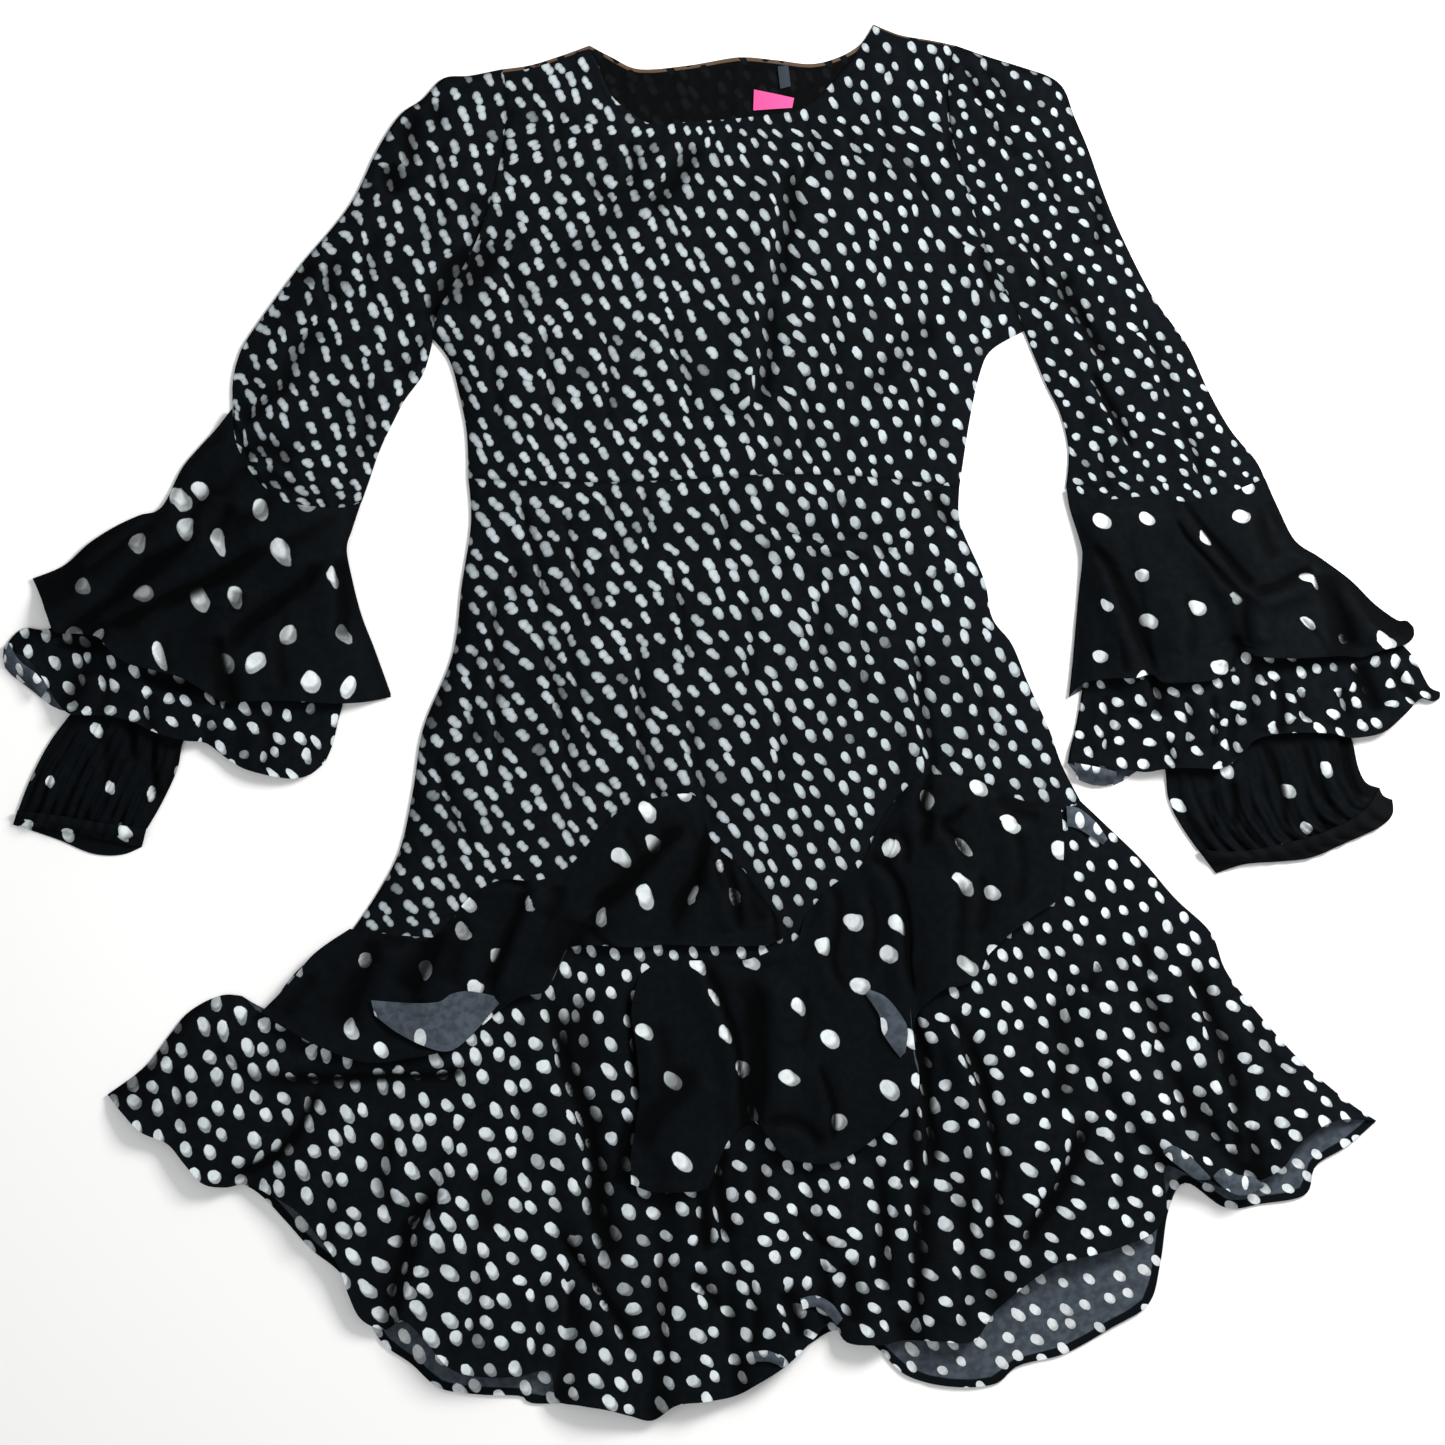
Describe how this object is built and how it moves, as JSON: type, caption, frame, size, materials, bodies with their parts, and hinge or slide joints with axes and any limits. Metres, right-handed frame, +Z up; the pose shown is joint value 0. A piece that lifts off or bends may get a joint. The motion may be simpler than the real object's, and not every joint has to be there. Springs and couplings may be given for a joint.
{
  "type": "smock dress",
  "caption": "Long-sleeved smock dress laid flat: dotted bodice and skirt, wrapped dark flounces over a wide lower flounce, sleeves ending in flounces over gathered cuffs.",
  "frame": {"origin": "middle of the laid dress's outline, on the surface it lies on", "axes": "+X toward the right of the laid dress as seen from above, +Y from the hem toward the neck, +Z up out of the surface"},
  "size_m": [1.091, 1.06, 0.0244],
  "materials": {
    "dense_dot_cloth": "matte woven cloth",
    "sleeve_cloth": "matte woven cloth",
    "middle_dot_cloth": "matte woven cloth",
    "sparse_dot_cloth": "matte woven cloth",
    "reverse_cloth": "matte woven cloth",
    "binding_cloth": "matte woven cloth",
    "pink_label": "smooth satin tape",
    "grey_label": "smooth satin tape"
  },
  "bodies": {
    "root": {"front_bodice": "dense_dot_cloth", "front_skirt": "dense_dot_cloth", "back_skirt": "dense_dot_cloth", "left_sleeve": "sleeve_cloth", "right_sleeve": "sleeve_cloth", "front_lower_flounce": "middle_dot_cloth", "left_under_flounce": "middle_dot_cloth", "right_under_flounce": "middle_dot_cloth", "upper_flounce_left": "sparse_dot_cloth", "upper_flounce_right": "sparse_dot_cloth", "left_flare": "sparse_dot_cloth", "right_flare": "sparse_dot_cloth", "left_cuff": "sparse_dot_cloth", "right_cuff": "sparse_dot_cloth", "back_bodice": "reverse_cloth", "back_lower_flounce": "reverse_cloth", "left_cuff_band": "binding_cloth", "right_cuff_band": "binding_cloth", "neck_label": "pink_label", "size_label": "grey_label"}
  },
  "joints": []
}
